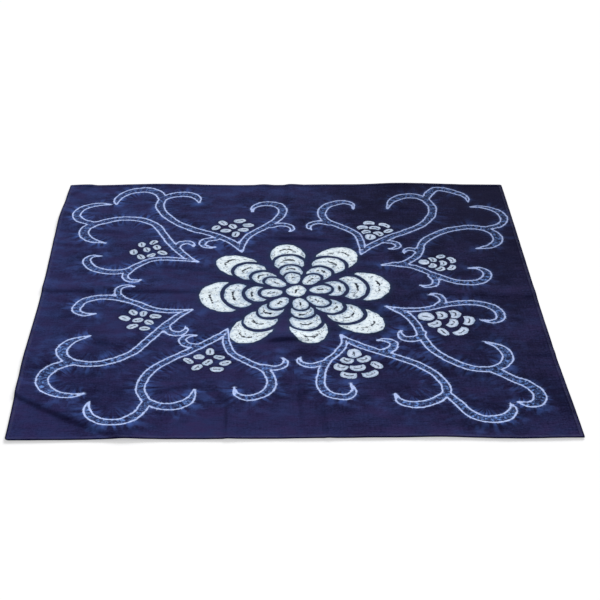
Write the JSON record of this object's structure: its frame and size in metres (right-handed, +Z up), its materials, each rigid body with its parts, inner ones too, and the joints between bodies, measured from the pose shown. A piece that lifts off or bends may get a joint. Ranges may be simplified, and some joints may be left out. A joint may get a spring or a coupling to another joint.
{
  "type": "square tablecloth",
  "caption": "Square cotton tablecloth with a narrow sewn hem, spread flat with soft storage folds, its indigo ground resist-dyed with an off-white flower, scrolls and seeds.",
  "frame": {"origin": "middle of the cloth's outline, on the surface that the underside rests on", "axes": "+Z up through the cloth, +X to the right and +Y to the far edge as the cloth is seen"},
  "size_m": [1.108, 1.107, 0.0099],
  "materials": {
    "indigo_cotton": "matt woven cotton, dyed deep indigo, with undyed off-white motifs and pale blue stitched lines"
  },
  "bodies": {
    "root": {"tablecloth": "indigo_cotton"}
  },
  "joints": []
}
